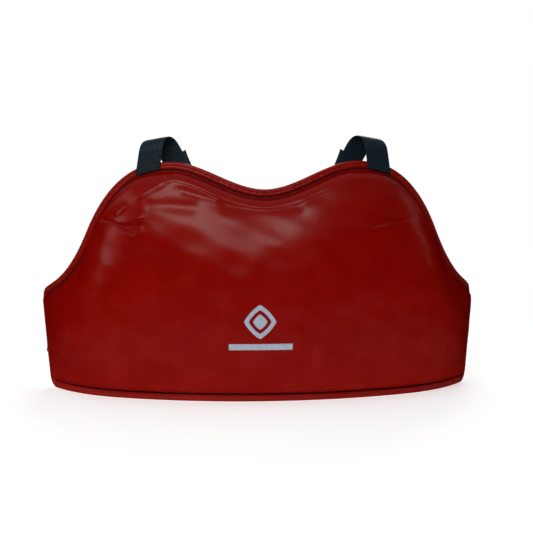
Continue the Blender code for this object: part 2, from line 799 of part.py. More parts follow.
def side_tab(label, side, wing):
    """The doubled webbing tab that holds a socket; returns where its bar lies."""
    path = tab_path(side)
    up = Vector((0, 0, 1))
    layers = ([], [])
    for k, (point, heading) in enumerate(path):
        share = max(k - (len(path) - 1 - TAB_STEPS), 0) / TAB_STEPS
        ease = share * share * (3 - 2 * share)
        apart = LAYER_PITCH / 2 + (TURN_RADIUS - LAYER_PITCH / 2) * ease
        across = heading.cross(up)
        layers[0].append((point + across * apart, across))
        layers[1].append((point - across * apart, -across))
    bar, heading = path[-1]
    across = heading.cross(up)
    turn = [
        (
            bar + TURN_RADIUS * (across * math.cos(a) + heading * math.sin(a)),
            across * math.cos(a) + heading * math.sin(a),
        )
        for a in spread(0, math.pi, TURN_STEPS)[1:-1]
    ]
    half = up * (WEBBING_WIDTH / 2)
    middle = up * TAB_HEIGHT
    stations = [
        (point + middle - half, point + middle + half, out)
        for point, out in layers[0] + turn + layers[1][::-1]
    ]
    strip_solid(f"{label}_side_tab", stations, "navy_webbing", wing)
    return bar + middle, heading


def wing(label, side):
    """One wing on its flex line, with its binding, tab and socket."""
    point, _ = plan(side * FLEX_S, 0)
    hinge = pivot(f"{label}_wing_pivot", (point.x, point.y, 0))
    pad_layers(f"{label}_wing", side, hinge)
    binding(f"{label}_wing_binding", wing_outline(), side, hinge)
    bar, heading = side_tab(label, side, hinge)
    up = Vector((0, 0, 1))
    turn = Matrix((up, heading, up.cross(heading))).transposed()
    socket(f"{label}_socket", pivot(f"{label}_socket_pivot", bar, turn))


def main():
    for old in list(bpy.data.objects):
        bpy.data.objects.remove(old)
    pad_layers("center")
    center_bindings()
    mark()
    for label, side in (("left", -1), ("right", 1)):
        wing(label, side)
        harness(label, side)


main()
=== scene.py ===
# %% [markdown]
# # A trainer's belly pad, dressed over its working frame
# A boxing trainer wears this pad over the stomach and takes body blows on it.  Red coated
# fabric is stretched over two layers of foam, a folded tape binds the edge, and two webbing
# straps go over the shoulders to buckles behind.
# The imported frame already gives every size and every joint.  This file only adds the looks:
# each visible piece is laid over the frame's solid for it, and the print, strap seams and side tabs are then
# told which body they follow.

# %% Load the frame
import math

import bmesh
import bpy
import numpy as np
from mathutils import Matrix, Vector


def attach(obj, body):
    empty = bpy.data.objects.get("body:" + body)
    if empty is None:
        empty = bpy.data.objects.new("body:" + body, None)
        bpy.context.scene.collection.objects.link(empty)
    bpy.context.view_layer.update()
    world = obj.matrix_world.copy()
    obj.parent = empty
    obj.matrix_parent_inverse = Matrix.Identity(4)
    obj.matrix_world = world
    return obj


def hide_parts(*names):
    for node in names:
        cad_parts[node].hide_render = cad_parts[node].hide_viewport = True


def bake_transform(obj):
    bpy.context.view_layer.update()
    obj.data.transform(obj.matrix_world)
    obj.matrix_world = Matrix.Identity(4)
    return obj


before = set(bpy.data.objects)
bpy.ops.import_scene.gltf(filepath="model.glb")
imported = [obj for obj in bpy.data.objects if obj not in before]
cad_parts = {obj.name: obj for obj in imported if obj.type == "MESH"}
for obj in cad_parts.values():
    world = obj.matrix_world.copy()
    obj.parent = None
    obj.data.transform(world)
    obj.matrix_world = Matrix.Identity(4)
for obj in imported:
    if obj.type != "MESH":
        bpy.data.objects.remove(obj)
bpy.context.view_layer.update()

# %% [markdown]
# ## The pattern
# A curved pad is easiest to draw flat, as its maker cuts it.  s runs along the pad from its
# middle, z runs up, and depth runs out of the seam plane towards the front.  Everything is
# drawn in (s, z, depth) first and wrapped round the wearer last, so that panel, tape and
# stitches all share one curve.  The driving sizes are the frame's own.

# %% Driving sizes, in metres
FRONT_RADIUS, FRONT_ANGLE = 0.645, math.radians(22)
SIDE_RADIUS, SIDE_ANGLE = 0.200, math.radians(55)
HEIGHT, NECK_DROP = 0.388, 0.043
ARMHOLE_DROP, ARMHOLE_SLOPE, ARMHOLE_PAST_FLEX = 0.118, -2.0, 0.051
SIDE_HEIGHT, SIDE_SLOPE, SIDE_SLANT = 0.155, -0.55, 0.042
CORNER_RADIUS = 0.018
STRAP_TO_FLEX, HUMP_TO_STRAP = 0.043, 0.038
COVER_T, LINER_T, BINDING_T = 0.0012, 0.0015, 0.0010
BINDING_WIDTH, PLY_GAP = 0.0115, 0.0005
PANEL_INSET, RISE_WIDTH, RISE_HEIGHT = 0.0142, 0.0140, 0.0240
CROWN_HEIGHT, SIDE_THINNING = 0.0300, 0.36
WEBBING_WIDTH, WEBBING_T = 0.038, 0.0022

FLEX_S = FRONT_RADIUS * FRONT_ANGLE
END_S = FLEX_S + SIDE_RADIUS * SIDE_ANGLE
STRAP_S = FLEX_S - STRAP_TO_FLEX - WEBBING_WIDTH / 2
PANEL_TOP_INSET = PANEL_INSET + RISE_WIDTH
BINDING_FRONT = COVER_T + PLY_GAP + BINDING_T
BINDING_BACK = LINER_T + 2 * PLY_GAP + BINDING_T
SIDES = {"left": -1, "right": 1}
print(f"the pad is {2 * END_S:.3f} m along its curve")

# %% [markdown]
# ## The curve of the pad
# In plan the front is a gentle arc and the wings are tight ones.  Two arcs that simply meet
# would kink every reflection at the joint, because the curvature jumps there.  So the
# curvature is eased from one value to the other, and summing it twice gives first the turn
# and then the place of each station on the line.

# %% Wrap the flat pattern round the wearer
STATION = 0.0005
FLEX_EASE = 0.040


def smooth(t):
    t = np.clip(t, 0, 1)
    return t * t * (3 - 2 * t)


line_s = np.arange(0, END_S + 0.02, STATION)
tight = smooth((line_s - FLEX_S + FLEX_EASE) / (2 * FLEX_EASE))
line_turn = np.cumsum((1 - tight) / FRONT_RADIUS + tight / SIDE_RADIUS) * STATION
line_x = np.cumsum(np.cos(line_turn)) * STATION
line_y = np.cumsum(np.sin(line_turn)) * STATION
line_x -= line_x[0]
line_y -= line_y[0]


def bend(s, z, depth):
    """World places of pattern points on the right half, where s is 0 or more."""
    turn = np.interp(s, line_s, line_turn)
    x = np.interp(s, line_s, line_x) + depth * np.sin(turn)
    y = np.interp(s, line_s, line_y) - depth * np.cos(turn)
    return np.stack(np.broadcast_arrays(x, y, z), axis=-1)


print("the wings reach", [round(float(v), 3) for v in bend(END_S, 0, 0)])

# %% [markdown]
# ## The outline
# The top edge dips at the neck, rises to a hump under each strap, falls round the armhole
# and runs down to a square side.  A cubic between each two knots, with the slope named where
# it matters, is the smallest description of such an edge.

# %% Top edge, rounded corners and slanted sides
KNOTS = (
    (0, HEIGHT - NECK_DROP, 0),
    (STRAP_S - HUMP_TO_STRAP, HEIGHT, 0),
    (FLEX_S + ARMHOLE_PAST_FLEX, HEIGHT - ARMHOLE_DROP, ARMHOLE_SLOPE),
    (END_S, SIDE_HEIGHT, SIDE_SLOPE),
)


def top_edge(s):
    """Height of the top edge, a cubic from knot to knot."""
    s = np.clip(s, 0, END_S)
    height = np.zeros_like(s, dtype=float)
    for (s0, z0, m0), (s1, z1, m1) in zip(KNOTS, KNOTS[1:]):
        run = s1 - s0
        t = (s - s0) / run
        keep = (2 * t - 3) * t * t + 1
        rise = run * t * (1 - t) * (m0 * (1 - t) - m1 * t)
        height = np.where(s >= s0, keep * z0 + (1 - keep) * z1 + rise, height)
    return height


def steepness(s):
    """Length of the top edge for each metre along s."""
    return np.hypot(1, (top_edge(s + STATION) - top_edge(s - STATION)) / (2 * STATION))


def rounded(u, v):
    """How far a square ring's point moves in to lie on the round ring."""
    inside = (u > 0) & (v > 0)
    return np.where(inside, np.maximum(u, v) / np.maximum(np.hypot(u, v), 1e-9), 1)


def finished(s, z):
    """Square-cornered pattern points moved to the rounded, slanted outline."""
    inner = END_S - CORNER_RADIUS
    tall = CORNER_RADIUS * math.hypot(1, SIDE_SLOPE)
    u = (s - inner) / CORNER_RADIUS
    low = 1 - z / CORNER_RADIUS
    high = 1 - (top_edge(s) - z) / tall
    at_low, at_high = rounded(u, low), rounded(u, high)
    s = np.where((at_low < 1) | (at_high < 1), inner + CORNER_RADIUS * u * at_low * at_high, s)
    z = np.where(at_low < 1, CORNER_RADIUS * (1 - low * at_low), z)
    z = np.where(at_high < 1, top_edge(s) - tall * (1 - high * at_high), z)
    share = np.clip((s - FLEX_S) / (END_S - PANEL_TOP_INSET - FLEX_S), 0, 1)
    return s - SIDE_SLANT * share * np.maximum(1 - z / SIDE_HEIGHT, 0), z


def thickness(s):
    """The wings' foam thins towards the sides."""
    t = (s - FLEX_S) / (END_S - PANEL_TOP_INSET - FLEX_S)
    return 1 - (1 - SIDE_THINNING) * smooth(t)


def crown(s, v):
    """The stuffed swelling: 0 at the panel's edge, 1 in its middle."""
    along = 1 - np.clip(s / (END_S - PANEL_TOP_INSET), 0, 1) ** 2.6
    return along * (1 - np.abs(2 * np.clip(v, 0, 1) ** 0.9 - 1) ** 2.4)


print("top edge at middle, strap and side", np.round(top_edge(np.array([0, STRAP_S, END_S])), 3))

# %% [markdown]
# ## Colours
# A colour picked on a screen is sRGB, but the shader works in linear light, so one function
# turns a hex colour to linear.  One more function adds a node with its settings and links,
# which keeps each material below down to what the real finish is.

# %% Helpers for materials


def paint(code):
    """Linear colour of an sRGB hex code."""
    values = [int(code[k : k + 2], 16) / 255 for k in (1, 3, 5)]
    linear = [v / 12.92 if v <= 0.04045 else ((v + 0.055) / 1.055) ** 2.4 for v in values]
    return (*linear, 1.0)


def add(tree, kind, inputs, **settings):
    """Adds a node; inputs are values or the sockets that feed it."""
    node = tree.nodes.new(kind)
    for name, value in settings.items():
        setattr(node, name, value)
    for name, value in inputs.items():
        if isinstance(value, bpy.types.NodeSocket):
            tree.links.new(value, node.inputs[name])
        else:
            node.inputs[name].default_value = value
    return node


def finish(name, **sockets):
    """A new material: its node tree and its surface shader with those sockets set."""
    made = bpy.data.materials.new(name)
    made.use_nodes = True
    shader = made.node_tree.nodes["Principled BSDF"]
    for socket, value in sockets.items():
        shader.inputs[socket.replace("_", " ")].default_value = value
    return made, made.node_tree, shader


def shades(tree, factor, stops):
    """Colour by a factor, through (place, hex colour) stops."""
    ramp = add(tree, "ShaderNodeValToRGB", {"Fac": factor})
    ramp.color_ramp.elements[0].position = stops[0][0]
    ramp.color_ramp.elements[1].position = stops[-1][0]
    for place, _ in stops[1:-1]:
        ramp.color_ramp.elements.new(place)
    for element, (_, code) in zip(ramp.color_ramp.elements, stops):
        element.color = paint(code)
    return ramp.outputs["Color"]


# %% [markdown]
# ## The red coated fabric
# The shell is a knitted backing with soft PVC calendered onto it.  The plastic film gives a
# smooth dark red with wide, slightly broken reflections, and the embossed leather grain is
# what breaks them.  Real grain is about 0.6 mm, finer than this view can show, so the drawn
# one is 2 mm and very shallow.  The stretch over the foam also leaves a faint orange peel,
# a few centimetres across, and handling dulls the gloss in patches.

# %% Calendered PVC on fabric


def coated_fabric(name, dark, middle, light, roughness):
    made, tree, shader = finish(name, IOR=1.5, Specular_IOR_Level=0.17)
    place = add(tree, "ShaderNodeTexCoord", {}).outputs["Object"]
    patches = add(tree, "ShaderNodeTexNoise", {"Vector": place, "Scale": 1 / 0.045, "Detail": 4.0})
    wear = patches.outputs["Fac"]
    colour = shades(tree, wear, ((0.30, dark), (0.52, middle), (0.78, light)))
    tree.links.new(colour, shader.inputs["Base Color"])
    dulled = {"Value": wear, "From Min": 0.3, "From Max": 0.7}
    dulled.update({"To Min": roughness - 0.04, "To Max": roughness + 0.05})
    worn = add(tree, "ShaderNodeMapRange", dulled)
    tree.links.new(worn.outputs["Result"], shader.inputs["Roughness"])
    grain = add(tree, "ShaderNodeTexVoronoi", {"Vector": place, "Scale": 1 / 0.002})
    peel = add(tree, "ShaderNodeTexNoise", {"Vector": place, "Scale": 1 / 0.018, "Detail": 3.0})
    fine = {"Height": grain.outputs["Distance"], "Strength": 0.05, "Distance": 0.0004}
    broad = {"Height": peel.outputs["Fac"], "Strength": 0.10, "Distance": 0.0010}
    small = add(tree, "ShaderNodeBump", fine)
    bumped = add(tree, "ShaderNodeBump", {**broad, "Normal": small.outputs["Normal"]})
    tree.links.new(bumped.outputs["Normal"], shader.inputs["Normal"])
    return made


panel_vinyl = coated_fabric("calendered_red_pvc", "#820500", "#880600", "#8E0701", 0.25)
tape_vinyl = coated_fabric("red_pvc_binding_tape", "#8C0801", "#930A02", "#9A0D03", 0.34)
print("made", panel_vinyl.name, "and", tape_vinyl.name)

# %% [markdown]
# ## From grids to closed pieces
# Most pieces are a sheet with two faces: an outer grid and an inner grid of the same size,
# joined round the rim.  A tape or a cord is a section carried along a path.  The two
# functions here build both as closed meshes straight from arrays, because the arrays come
# from the pattern's formulas.  The left half of the pad is the right half mirrored.

# %% Mesh builders
CREASE = math.radians(70)


def add_mesh(name, points, faces, materials, side=1):
    """A smooth object from arrays; side -1 mirrors it to the left."""
    points = np.asarray(points, float).reshape(-1, 3) * (side, 1, 1)
    mesh = bpy.data.meshes.new(name)
    mesh.from_pydata(points.tolist(), [], faces)
    shell = bmesh.new()
    shell.from_mesh(mesh)
    bmesh.ops.recalc_face_normals(shell, faces=shell.faces)
    shell.to_mesh(mesh)
    shell.free()
    mesh.shade_smooth()
    mesh.set_sharp_from_angle(angle=CREASE)
    for material in materials:
        mesh.materials.append(material)
    made = bpy.data.objects.new(name, mesh)
    bpy.context.scene.collection.objects.link(made)
    return made


def quads(columns, rows, start=0):
    """Faces of a grid of points, stored column by column."""
    a = start + (np.arange(columns - 1)[:, None] * rows + np.arange(rows - 1)).ravel()
    return np.stack([a, a + rows, a + rows + 1, a + 1], axis=1)


def two_faced(name, outer, inner, materials, side=1):
    """A closed sheet between two grids of the same size."""
    columns, rows = outer.shape[:2]
    under = columns * rows
    index = np.arange(under).reshape(columns, rows)
    rim = np.concatenate([index[:, 0], index[-1, 1:], index[-2::-1, -1], index[0, -2:0:-1]])
    after = np.roll(rim, -1)
    walls = np.stack([rim, after, under + after, under + rim], axis=1)
    faces = np.concatenate([quads(columns, rows), quads(columns, rows, under), walls])
    points = np.concatenate([outer.reshape(-1, 3), inner.reshape(-1, 3)])
    return add_mesh(name, points, faces.tolist(), materials, side)


def swept(name, stations, materials, side=1):
    """A closed tube: stations is an array of path steps by points round the section."""
    steps, around = stations.shape[:2]
    step, turn = np.meshgrid(np.arange(steps - 1), np.arange(around), indexing="ij")
    a = (step * around + turn).ravel()
    b = (step * around + (turn + 1) % around).ravel()
    walls = np.stack([a, b, b + around, a + around], axis=1).tolist()
    ends = [list(range(around)), list(range((steps - 1) * around, steps * around))]
    return add_mesh(name, stations, walls + ends, materials, side)


def follow_wing(piece, label):
    """Bakes a piece of the pad's placement into its mesh; the wing ends it works out are not used."""
    ends = [bend(FLEX_S + reach, 0, 0) * (SIDES[label], 1, 1) for reach in (-0.037, 0.045)]
    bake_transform(piece)


# %% [markdown]
# ## The stuffed panel
# Seen in section from the edge inwards, the shell is a flat seam allowance, a thin bead of
# piping, a steep gusset that rises over the foam, a raised seam, and then the swollen front.
# That could be simulated, but the foam is cut to shape and the fabric only follows it, so a
# profile carried round the outline gives the edge its true form at every point.  The puckers
# come from the cutting: a short dart in each armhole takes up the spare cloth, and the cloth
# buckles at its tip.

# %% Section of the panel: inset from the outline, fixed depth, depth that thins with the foam
FLANGE_INSET = 0.0032
BEAD = ((0.0137, 0.0018), (0.0136, 0.0027), (0.0142, 0.0034), (0.0150, 0.0034), (0.0154, 0.0029))
SEAM = ((0.0292, 0.0010), (0.0301, 0.0007), (0.0314, 0.0))
# The scoop pulls the cloth tight, so the seam stands up most within this distance of the middle.
SCOOP_PULL = 0.10
section = [(FLANGE_INSET, COVER_T, 0), (0.0105, COVER_T, 0), (0.0134, COVER_T, 0)]
section += [(inset, depth, 0) for inset, depth in BEAD]
for angle in np.radians(np.arange(8, 91, 7.5)):
    inset = 0.0154 + (PANEL_TOP_INSET - 0.0154) * (1 - math.cos(angle))
    dent = 0.0006 * math.exp(-(((angle - math.radians(62)) / 0.20) ** 2))
    base = COVER_T + 0.0017 * (1 - math.sin(angle)) - dent
    section.append((inset, base, RISE_HEIGHT * math.sin(angle)))
seam_lift = np.array([0.0] * len(section) + [lift for _, lift in SEAM])
section += [(inset, COVER_T, RISE_HEIGHT) for inset, _ in SEAM]
print(len(section), "levels from the seam allowance to the swollen front")

# %% Puckers and soft folds, in pattern places; s is negative on the left half
LEFT_DART = ((-0.262, 0.296), (-0.2395, 0.2934), (-0.2184, 0.2868), (-0.2016, 0.2766))
RIGHT_SLIT = ((0.1635, 0.2872), (0.1733, 0.2883), (0.1885, 0.2906))
RIGHT_LINE = ((0.1885, 0.2906), (0.2382, 0.2983))
FOLDS = (
    (((-0.196, 0.336), (-0.150, 0.361)), 0.0065, 0.0016),
    (((-0.126, 0.346), (-0.075, 0.331)), 0.0055, 0.0013),
    (((-0.229, 0.308), (-0.217, 0.318)), 0.0055, 0.0014),
    (((-0.175, 0.322), (-0.110, 0.320)), 0.0100, -0.0016),
    (((-0.060, 0.318), (0.050, 0.320)), 0.0075, -0.0012),
)


def from_path(s, z, path):
    """Distance of pattern points from a line of straight runs."""
    nearest = np.full(np.broadcast(s, z).shape, 1.0)
    for (s0, z0), (s1, z1) in zip(path, path[1:]):
        run = (s1 - s0) ** 2 + (z1 - z0) ** 2
        t = np.clip(((s - s0) * (s1 - s0) + (z - z0) * (z1 - z0)) / run, 0, 1)
        away = np.hypot(s - s0 - t * (s1 - s0), z - z0 - t * (z1 - z0))
        nearest = np.minimum(nearest, away)
    return nearest


def bump(distance, width):
    return np.exp(-((distance / width) ** 2))


def lowered(path, by):
    return tuple((s, z - by) for s, z in path)


def puckers(s, z):
    """Depth that the darts and folds add to the stretched cloth."""
    added = -0.0026 * bump(from_path(s, z, LEFT_DART), 0.0019)
    added += 0.0009 * bump(from_path(s, z, lowered(LEFT_DART, 0.0042)), 0.0032)
    hollow = np.hypot((s + 0.2045) / 0.0150, (z - 0.2872) / 0.0058)
    added -= 0.0060 * np.exp(-(hollow**2))
    for s0, z0, reach in ((-0.2095, 0.2960, 0.0085), (-0.1955, 0.3010, 0.0090)):
        ridge = np.hypot((s - s0) / reach, (z - z0 - 0.25 * (s - s0)) / 0.0032)
        added += 0.0017 * np.exp(-(ridge**2))
    added -= 0.0019 * bump(from_path(s, z, RIGHT_SLIT), 0.0014)
    added -= 0.0005 * bump(from_path(s, z, RIGHT_LINE), 0.0020)
    added += 0.0008 * bump(from_path(s, z, lowered(RIGHT_SLIT, 0.0040)), 0.0034)
    for path, width, height in FOLDS:
        added += height * bump(from_path(s, z, path), width)
    return added


# %% [markdown]
# Stretched cloth is never quite fair.  A handful of long, shallow waves in seeded random
# directions stands for the unevenness of hand-cut foam.

# %% Shallow unevenness of the foam
draw = np.random.default_rng(11)
WAVES = [
    (draw.uniform(0.00012, 0.0003), length, draw.uniform(0, math.tau), draw.uniform(0, math.tau))
    for length in (0.150, 0.110, 0.085, 0.065, 0.050, 0.038)
]


def uneven(s, z):
    total = 0
    for height, length, heading, phase in WAVES:
        along = s * math.cos(heading) + z * math.sin(heading)
        total = total + height * np.sin(math.tau * along / length + phase)
    return total


# %% Panel grids, finest where the darts are
EDGE = section[-1][0]
columns = np.concatenate(
    [np.arange(0, 0.155, 0.0028), np.arange(0.155, 0.265, 0.0013), np.arange(0.265, 0.405, 0.0028)]
)
columns = np.append(columns[columns < END_S - EDGE - 0.001], END_S - EDGE)
shares = np.concatenate(
    [np.linspace(0, 0.68, 60), np.linspace(0.68, 0.93, 66)[1:], np.linspace(0.93, 1, 12)[1:]]
)


def half_grid(section, columns, shares):
    """Pattern places and section level of a grid over half of the pad."""
    inset = np.array([level[0] for level in section])
    last = len(section) - 1
    ring = np.arange(last)
    s = np.concatenate([columns, END_S - inset[:last][::-1]])[:, None]
    s_level = np.concatenate([np.full(len(columns), last), ring[::-1]])
    top, steep = top_edge(s), steepness(s)
    low = np.broadcast_to(inset[:last], (len(s), last))
    middle = inset[last] + shares * (top - inset[last] * (steep + 1))
    high = top - steep * inset[:last][::-1]
    z = np.concatenate([low, middle, high], axis=1)
    z_level = np.concatenate([ring, np.full(len(shares), last), ring[::-1]])
    return np.broadcast_to(s, z.shape), z, np.minimum(s_level[:, None], z_level)


def panel_face(side):
    """The front face of one half."""
    s, z, level = half_grid(section, columns, shares)
    _, fixed, thinning = (np.array(part)[level] for part in zip(*section))
    room = top_edge(s) - PANEL_TOP_INSET * (steepness(s) + 1)
    v = (z - PANEL_TOP_INSET) / room
    depth = fixed + thinning * thickness(s) + CROWN_HEIGHT * crown(s, v)
    depth = depth + seam_lift[level] * (0.2 + 0.8 * bump(s, SCOOP_PULL))
    on_top = smooth((level - len(BEAD) - 3) / (len(section) - len(BEAD) - 4))
    depth = depth + on_top * (puckers(side * s, z) + uneven(side * s, z))
    return bend(*finished(s, z), depth)


for label, side in SIDES.items():
    s, z, level = half_grid(section, columns, shares)
    underside = bend(*finished(s, z), np.where(level > 0, 0.0003, 0.0001))
    cover = two_faced(f"stuffed_panel_{label}", panel_face(side), underside, [panel_vinyl], side)
    follow_wing(cover, label)
    hidden = [f"{part}_{layer}" for part in ("center", f"{label}_wing")
              for layer in ("front_cover", "outer_foam", "inner_foam")]
    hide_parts(*hidden)
    print(cover.name, len(cover.data.vertices), "points")

# %% [markdown]
# ## The edge path
# The tape, the dark line inside it and all the stitches follow the same edge, so it is
# walked once: along the top from the middle, round the side and back along the bottom.  The
# walk is then re-spaced evenly, because a sweep needs even steps to look even.

# %% Walk the outline of the right half
EDGE_STEP = 0.0024
inner = END_S - CORNER_RADIUS
side_top = float(top_edge(np.array(END_S)))
drop = CORNER_RADIUS * math.hypot(1, SIDE_SLOPE)
arc = np.linspace(0, 1, 15)[1:]
top_s = np.concatenate([np.linspace(0, inner, 260), inner + CORNER_RADIUS * arc])
side_z = np.concatenate([side_top - drop * arc, np.linspace(side_top - drop, CORNER_RADIUS, 60)[1:]])
side_z = np.concatenate([side_z, CORNER_RADIUS * (1 - arc)])
bottom_s = np.concatenate([inner + CORNER_RADIUS * (1 - arc), np.linspace(inner, 0, 200)[1:]])
walk_s = np.concatenate([top_s, np.full(len(side_z), END_S), bottom_s])
walk_z = np.concatenate([top_edge(top_s), side_z, np.zeros(len(bottom_s))])
walk_s, walk_z = finished(walk_s, walk_z)
gone = np.concatenate([[0], np.cumsum(np.hypot(np.diff(walk_s), np.diff(walk_z)))])
gone, kept = np.unique(gone, return_index=True)
walk_s, walk_z = walk_s[kept], walk_z[kept]
EDGE_LENGTH = gone[-1]


def edge_at(distance, inset, depth):
    """World places near the outline, so far along it, inset from it and deep."""
    step = 0.0012
    s, z = np.interp(distance, gone, walk_s), np.interp(distance, gone, walk_z)
    before, after = np.maximum(distance - step, 0), np.minimum(distance + step, EDGE_LENGTH)
    ds = np.interp(after, gone, walk_s) - np.interp(before, gone, walk_s)
    dz = np.interp(after, gone, walk_z) - np.interp(before, gone, walk_z)
    run = np.hypot(ds, dz)
    return bend(np.maximum(s + dz / run * inset, 0), z - ds / run * inset, depth)


edge_steps = np.linspace(0, EDGE_LENGTH, int(EDGE_LENGTH / EDGE_STEP))
print(f"the edge of one half is {EDGE_LENGTH:.3f} m long")

# %% [markdown]
# ## The binding tape
# The same coated fabric, cut 23 mm wide and folded over the edge, is sewn through with one
# row of stitches.  The fold is soft and round, the thread pulls a shallow valley along the
# middle, and on the curves the tape gathers a little between stitches.  Its section is swept
# along the edge, and a few tenths of a millimetre of ripple make the gathers.

# %% Fold the tape over the edge
STITCH_INSET = 0.0060
FOLD_R = (BINDING_FRONT + BINDING_BACK) / 2
fold_middle = (BINDING_FRONT - BINDING_BACK) / 2
lip = [(BINDING_WIDTH, -0.0006), (BINDING_WIDTH - 0.0003, -0.0001), (0.0092, 0.0003)]
lip += [(0.0070, 0.0001), (STITCH_INSET, -0.0005), (0.0050, 0.0001), (0.0040, 0.0002)]
skin = [(inset, BINDING_FRONT + lift) for inset, lift in lip]
for angle in np.radians(np.arange(75, -76, -15)):
    skin.append((FOLD_R * (1 - math.cos(angle)), fold_middle + FOLD_R * math.sin(angle)))
skin += [(inset, -BINDING_BACK - lift) for inset, lift in reversed(lip)]
lining = [(BINDING_WIDTH, BINDING_T - BINDING_BACK), (BINDING_T, BINDING_T - BINDING_BACK)]
lining += [(inset, BINDING_FRONT - BINDING_T) for inset, _ in reversed(lining)]


def tape(side):
    """Stations of the tape's section along the whole edge of one half."""
    gather = 0.00022 * np.sin(math.tau * edge_steps / 0.0105 + side)
    gather += 0.00018 * np.sin(math.tau * edge_steps / 0.0370 + 2 * side)
    sections = []
    for inset, depth in skin:
        puff = gather * (1 if depth > 0 else -1) * smooth((inset - 0.001) / 0.004)
        sections.append(edge_at(edge_steps, inset, depth + puff))
    sections += [edge_at(edge_steps, inset, depth) for inset, depth in lining]
    return np.stack(sections, axis=1)


for label, side in SIDES.items():
    binding = swept(f"edge_binding_{label}", tape(side), [tape_vinyl], side)
    follow_wing(binding, label)
    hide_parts(f"{label}_wing_binding", "center_top_binding", "center_bottom_binding")

# %% [markdown]
# ## The dark line inside the tape
# Between the tape and the piping the shadow in the groove shows as a thin dark
# line.  That shade is painted: a black strip on the seam allowance and under the tape's lip,
# swept along the same edge, stands where there is only shadow.

# %% Black strip of painted groove shadow
groove_shade_black, tree, shader = finish("painted_groove_shadow", Roughness=0.9, IOR=1.45)
shader.inputs["Base Color"].default_value = paint("#0D0809")
# Section of the painted shadow: a thin black band lying in the groove.
shade_band = ((0.0095, 0.00125), (0.0139, 0.00125), (0.0139, 0.00160), (0.0095, 0.00160))
for label, side in SIDES.items():
    stations = np.stack([edge_at(edge_steps, inset, depth) for inset, depth in shade_band], axis=1)
    line = swept(f"groove_shadow_edge_{label}", stations, [groove_shade_black], side)
    follow_wing(line, label)

# %% [markdown]
# ## Thread
# Bonded nylon thread, 0.5 mm thick, shows as a row of short rounded bars whose ends dive into
# the cloth.  One stitch is a small closed spindle, and the row is that spindle copied to each
# place along the seam with the seam's own direction.

# %% Sew a row of stitches


def thread(name, code):
    """Bonded nylon thread: a soft sheen and a slight twist."""
    made, tree, shader = finish(name, Roughness=0.5, IOR=1.53, Sheen_Weight=0.3)
    place = add(tree, "ShaderNodeTexCoord", {}).outputs["Object"]
    twist = add(tree, "ShaderNodeTexNoise", {"Vector": place, "Scale": 1 / 0.0012})
    pulled = add(tree, "ShaderNodeBump", {"Height": twist.outputs["Fac"], "Distance": 0.0001})
    tree.links.new(pulled.outputs["Normal"], shader.inputs["Normal"])
    shader.inputs["Base Color"].default_value = paint(code)
    return made


SPINDLE = ((-0.5, 0.25, -0.9), (-0.36, 0.85, -0.2), (0, 1, 0.15), (0.36, 0.85, -0.2), (0.5, 0.25, -0.9))
AROUND = 6


def stitches(name, starts, ends, ups, material, radius=0.00042, side=1):
    """One mesh of stitches from start and end points; ups point out of the cloth."""
    along = ends - starts
    length = np.linalg.norm(along, axis=1, keepdims=True)
    along = along / length
    ups = ups / np.linalg.norm(ups, axis=1, keepdims=True)
    across = np.cross(along, ups)
    middle = (starts + ends) / 2
    rings = []
    for reach, wide, sunk in SPINDLE:
        for turn in np.arange(AROUND) * math.tau / AROUND:
            lift = radius * (sunk + wide * math.sin(turn))
            rings.append(middle + along * length * reach + ups * lift
                         + across * radius * wide * math.cos(turn))
    points = np.stack(rings, axis=1)
    count = len(SPINDLE) * AROUND
    walls = [[k * AROUND + t, k * AROUND + (t + 1) % AROUND,
              (k + 1) * AROUND + (t + 1) % AROUND, (k + 1) * AROUND + t]
             for k in range(len(SPINDLE) - 1) for t in range(AROUND)]
    one = walls + [list(range(AROUND)), list(range(count - AROUND, count))]
    faces = [[stitch * count + k for k in face] for stitch in range(len(starts)) for face in one]
    return add_mesh(name, points, faces, [material], side)


red_thread = thread("red_nylon_thread", "#5C0C06")
STITCH_PITCH, STITCH_LENGTH = 0.0052, 0.0036
row = np.arange(0.004, EDGE_LENGTH - 0.004, STITCH_PITCH)
for label, side in SIDES.items():
    for place, depth in (("front", BINDING_FRONT - 0.0001), ("back", 0.0001 - BINDING_BACK)):
        starts = edge_at(row, STITCH_INSET, depth)
        ends = edge_at(row + STITCH_LENGTH, STITCH_INSET, depth)
        ups = edge_at(row, STITCH_INSET, depth * 2) - starts
        sewn = stitches(f"binding_thread_{place}_{label}", starts, ends, ups, red_thread, side=side)
        follow_wing(sewn, label)
print(len(row), "stitches along each half of the binding")

# %% [markdown]
# ## The rear liner
# The back is black woven nylon over a thin sheet of foam, sewn in flat and then bent, so the
# spare cloth lies in soft upright folds where the wings curve.  The folds are real waves in
# the surface.  The weave is a basket of 0.5 mm yarns, drawn 1.2 mm wide so that it shows.

# %% Woven nylon liner


def woven(name, code_low, code_high, yarn, place_name="Object"):
    """Plain-woven synthetic cloth with a slight sheen; yarn is the drawn yarn width."""
    made, tree, shader = finish(name, Roughness=0.72, IOR=1.5, Sheen_Weight=0.25)
    place = add(tree, "ShaderNodeTexCoord", {}).outputs[place_name]
    heights = []
    for direction in ("X", "Z"):
        band = {"Vector": place, "Scale": 1 / (yarn * 20), "Distortion": 0.2}
        yarns = add(tree, "ShaderNodeTexWave", band, bands_direction=direction)
        heights.append(yarns.outputs["Fac"])
    cloth = add(tree, "ShaderNodeMath", {0: heights[0], 1: heights[1]}, operation="MULTIPLY")
    slub = add(tree, "ShaderNodeTexNoise", {"Vector": place, "Scale": 1 / 0.012, "Detail": 5.0})
    colour = shades(tree, slub.outputs["Fac"], ((0.3, code_low), (0.7, code_high)))
    tree.links.new(colour, shader.inputs["Base Color"])
    raised = {"Height": cloth.outputs["Value"], "Strength": 0.5, "Distance": 0.0004}
    tree.links.new(add(tree, "ShaderNodeBump", raised).outputs["Normal"], shader.inputs["Normal"])
    return made


